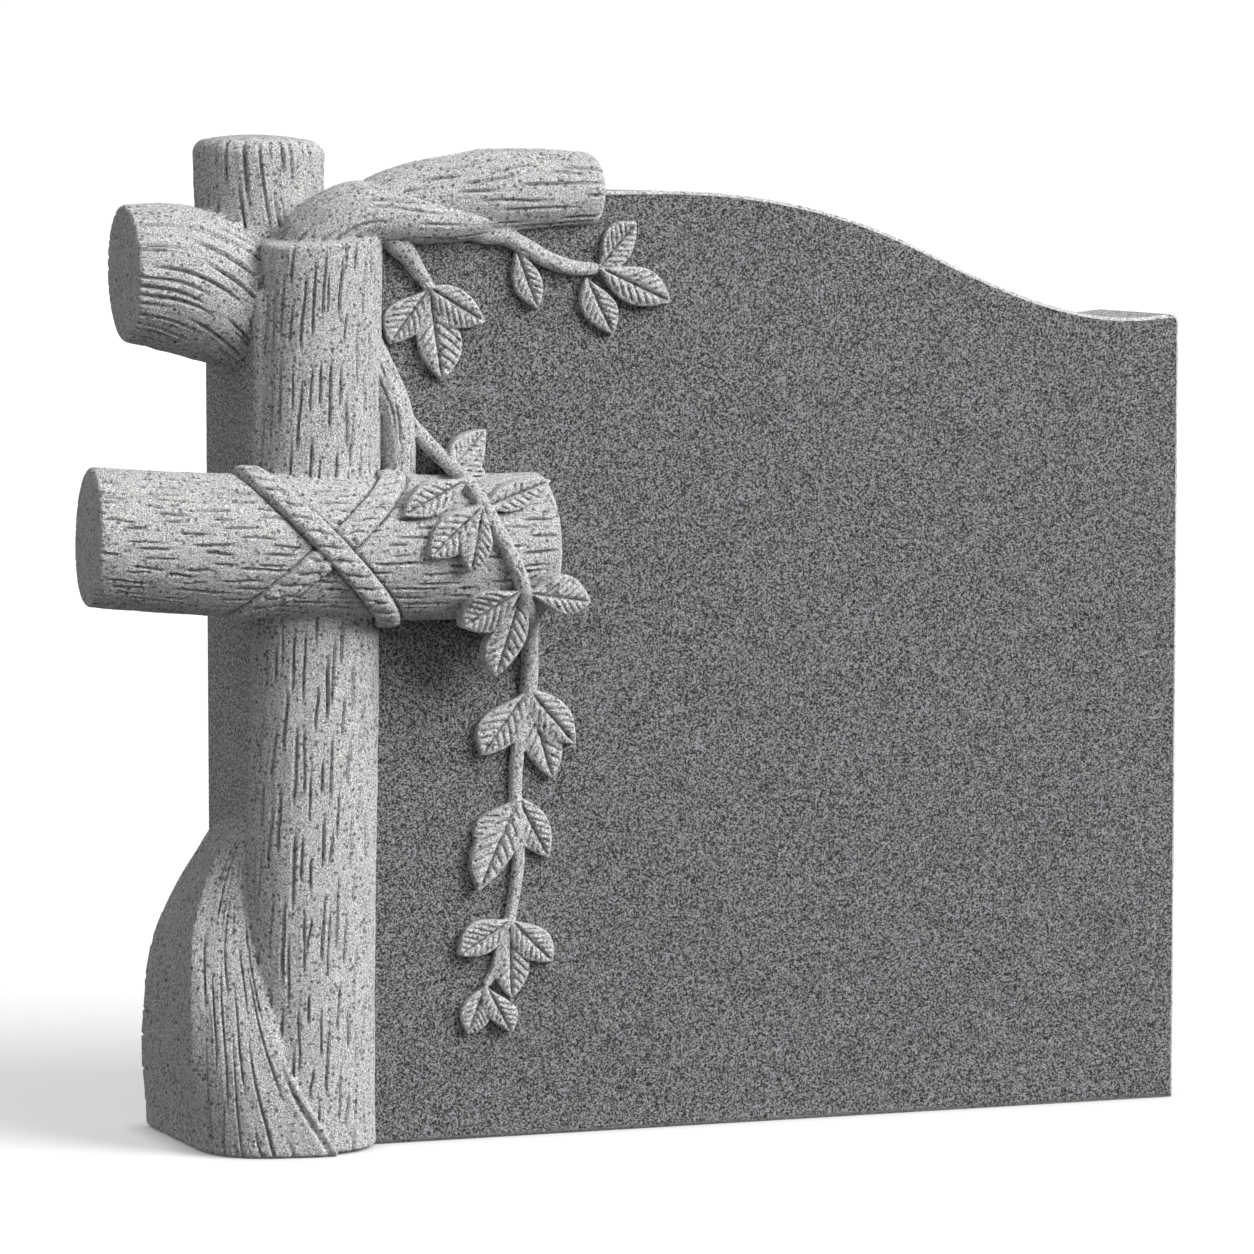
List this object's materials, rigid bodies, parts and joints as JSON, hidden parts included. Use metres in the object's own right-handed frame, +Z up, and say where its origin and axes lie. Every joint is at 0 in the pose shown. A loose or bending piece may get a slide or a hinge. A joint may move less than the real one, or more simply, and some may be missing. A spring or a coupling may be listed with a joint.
{
  "type": "headstone",
  "caption": "Upright granite headstone with a serpentine top, polished face, and a carved log cross, tree stub, root and leafy vine at its left end.",
  "frame": {"origin": "middle of the slab's underside, on the surface the stone stands on", "axes": "+X to the right along the slab, +Y from the polished face to the back, +Z up"},
  "size_m": [1.0605, 0.2631, 0.915],
  "materials": {
    "granite": "grey granite, polished dark on the front face, fine tooled and light on the carving, rough sawn at the sides, top and back"
  },
  "bodies": {
    "root": {"headstone": "granite"}
  },
  "joints": []
}
